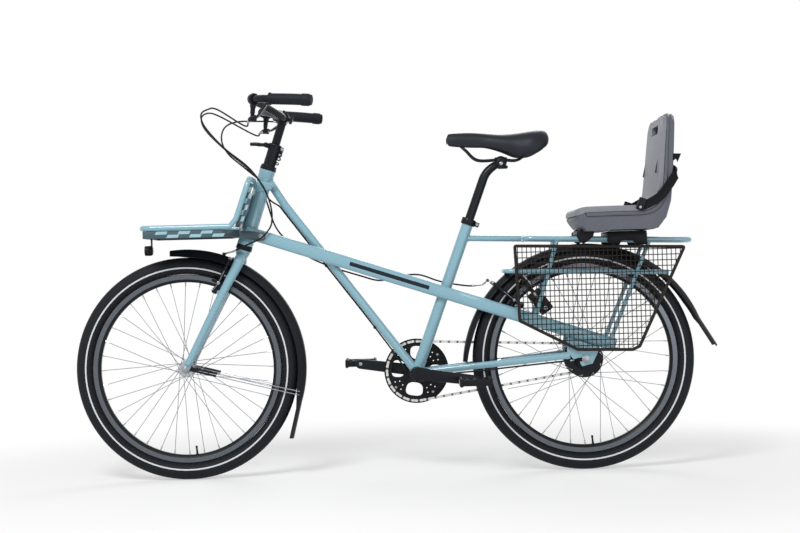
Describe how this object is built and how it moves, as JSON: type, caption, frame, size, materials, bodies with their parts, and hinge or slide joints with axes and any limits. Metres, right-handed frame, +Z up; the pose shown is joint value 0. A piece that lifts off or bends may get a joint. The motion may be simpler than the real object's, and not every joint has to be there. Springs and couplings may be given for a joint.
{
  "type": "utility bicycle",
  "caption": "Step-through utility bicycle with front rack and tray, rear rack with child seat, wire guard, mudguards, hub gear, rim brakes and a frame lock.",
  "frame": {"origin": "on the ground, centre of the bounding box seen from above", "axes": "+X towards the rear wheel, +Y towards the bike's right (drive) side, +Z up"},
  "size_m": [1.9042, 0.6188, 1.1349],
  "materials": {
    "frame_blue": "satin",
    "silver": "satin",
    "dark_teal": "satin",
    "black": "satin",
    "dark_wire": "satin",
    "seat_grey": "matte",
    "webbing": "satin",
    "steel": "satin",
    "black_alloy": "satin",
    "rubber": "matte",
    "tyre": "satin",
    "saddle": "matte"
  },
  "bodies": {
    "frame": {"head_tube": "frame_blue", "seat_tube": "frame_blue", "down_tube": "frame_blue", "lateral_tube_left": "frame_blue", "lateral_tube_right": "frame_blue", "chainstay_left": "frame_blue", "chainstay_right": "frame_blue", "seat_clamp": "silver", "rear_rack": "frame_blue", "rack_stays": "frame_blue", "front_rack_tube": "frame_blue", "front_rack_tray": "dark_teal", "front_lamp": "black", "headset_lower": "silver", "rear_mudguard": "black", "frame_lock": "black", "guard_frame": "dark_wire", "guard_net": "dark_wire", "child_seat": "seat_grey", "child_seat_bracket": "black", "child_seat_strap": "webbing", "chain": "steel", "rear_axle": "steel", "brake_cable_rear": "black", "gear_cable": "black"},
    "fork": {"fork": "frame_blue", "front_axle": "steel", "stem_sleeve": "black_alloy", "front_mudguard": "black", "brake_cable_front": "black"},
    "stem_lever": {"stem_lever": "silver"},
    "bars": {"stem_post": "silver", "handlebar": "black_alloy", "grip_left": "rubber", "grip_right": "rubber", "lever_mount_left": "black", "lever_mount_right": "black", "bell": "black"},
    "brake_lever_left": {"brake_lever_left": "black"},
    "brake_lever_right": {"brake_lever_right": "black"},
    "shift_lever": {"shift_lever": "black"},
    "front_brake_left": {"front_brake_left": "black_alloy"},
    "front_brake_right": {"front_brake_right": "black_alloy"},
    "rear_brake_left": {"rear_brake_left": "black_alloy"},
    "rear_brake_right": {"rear_brake_right": "black_alloy"},
    "front_wheel": {"front_tyre": "tyre", "front_rim": "silver", "front_hub": "silver"},
    "rear_wheel": {"rear_tyre": "tyre", "rear_rim": "silver", "rear_hub": "black_alloy"},
    "sprocket": {"rear_sprocket": "steel"},
    "crank": {"crank_right": "black_alloy", "crank_left": "black_alloy"},
    "pedal_left": {"pedal_left": "black"},
    "pedal_right": {"pedal_right": "black"},
    "seat": {"seatpost": "black_alloy", "saddle_rails": "steel", "saddle": "saddle"},
    "lock_bar": {"lock_bar": "steel"}
  },
  "joints": [
    {"name": "steering", "type": "hinge", "parent": "frame", "child": "fork", "pos_m": [-0.44243, 0, 0.69194], "axis": [0.3156, 0, 0.9489], "range_deg": [-45, 45], "deforming": ["brake_cable_rear", "gear_cable"]},
    {"name": "front_wheel_spin", "type": "hinge", "parent": "fork", "child": "front_wheel", "pos_m": [-0.62265, 0, 0.3295], "axis": [0, 1, 0], "continuous": true},
    {"name": "rear_wheel_spin", "type": "hinge", "parent": "frame", "child": "rear_wheel", "pos_m": [0.55435, 0, 0.3295], "axis": [0, 1, 0], "continuous": true},
    {"name": "stem_height", "type": "slide", "parent": "fork", "child": "bars", "axis": [0.3156, 0, 0.9489], "range_m": [-0.04, 0.06], "deforming": ["brake_cable_front"]},
    {"name": "stem_quick_release", "type": "hinge", "parent": "fork", "child": "stem_lever", "pos_m": [-0.37194, 0, 0.98782], "axis": [0, 1, 0], "range_deg": [0, 90]},
    {"name": "brake_lever_left", "type": "hinge", "parent": "bars", "child": "brake_lever_left", "pos_m": [-0.38407, -0.216, 1.0458], "axis": [-0.8989, -0.3799, 0.2183], "range_deg": [0, 9], "stiffness_Nm_per_rad": 1, "springref_deg": -17.19},
    {"name": "brake_lever_right", "type": "hinge", "parent": "bars", "child": "brake_lever_right", "pos_m": [-0.38407, 0.216, 1.0458], "axis": [0.8989, -0.3799, -0.2183], "range_deg": [0, 9], "stiffness_Nm_per_rad": 1, "springref_deg": -17.19},
    {"name": "shift_lever", "type": "hinge", "parent": "bars", "child": "shift_lever", "pos_m": [-0.34593, 0.23324, 1.07788], "axis": [0.2917, -0.6452, -0.7061], "range_deg": [-20, 20]},
    {"name": "crank_turn", "type": "hinge", "parent": "frame", "child": "crank", "pos_m": [0.05835, 0, 0.301], "axis": [0, 1, 0], "continuous": true},
    {"name": "sprocket_turn", "type": "hinge", "parent": "frame", "child": "sprocket", "pos_m": [0.55435, 0, 0.3295], "axis": [0, 1, 0], "continuous": true},
    {"name": "seatpost_height", "type": "slide", "parent": "frame", "child": "seat", "axis": [0.3502, 0, 0.9367], "range_m": [-0.05, 0.05]},
    {"name": "lock_bar_turn", "type": "hinge", "parent": "frame", "child": "lock_bar", "pos_m": [0.38326, 0, 0.56241], "axis": [0.8059, 0, 0.592], "range_deg": [0, 88], "stiffness_Nm_per_rad": 0.06, "springref_deg": -34.38},
    {"name": "front_brake_left", "type": "hinge", "parent": "fork", "child": "front_brake_left", "pos_m": [-0.53036, -0.044, 0.55933], "axis": [-0.8875, 0, 0.4608], "range_deg": [0, 3]},
    {"name": "front_brake_right", "type": "hinge", "parent": "fork", "child": "front_brake_right", "pos_m": [-0.53036, 0.044, 0.55933], "axis": [0.8875, 0, -0.4608], "range_deg": [0, 3]},
    {"name": "rear_brake_left", "type": "hinge", "parent": "frame", "child": "rear_brake_left", "pos_m": [0.36951, -0.047, 0.49263], "axis": [-0.6494, 0, -0.7604], "range_deg": [0, 3]},
    {"name": "rear_brake_right", "type": "hinge", "parent": "frame", "child": "rear_brake_right", "pos_m": [0.36951, 0.047, 0.49263], "axis": [0.6494, 0, 0.7604], "range_deg": [0, 3]},
    {"name": "pedal_left", "type": "hinge", "parent": "crank", "child": "pedal_left", "pos_m": [0.2267, -0.14, 0.27734], "axis": [0, 1, 0], "continuous": true},
    {"name": "pedal_right", "type": "hinge", "parent": "crank", "child": "pedal_right", "pos_m": [-0.11, 0.14, 0.32466], "axis": [0, 1, 0], "continuous": true}
  ],
  "couplings": [
    {"joint": "sprocket_turn", "follows": "crank_turn", "ratio": 2.2},
    {"joint": "front_brake_left", "follows": "brake_lever_left", "ratio": 0.3333},
    {"joint": "front_brake_right", "follows": "brake_lever_left", "ratio": 0.3333},
    {"joint": "rear_brake_left", "follows": "brake_lever_right", "ratio": 0.3333},
    {"joint": "rear_brake_right", "follows": "brake_lever_right", "ratio": 0.3333}
  ]
}
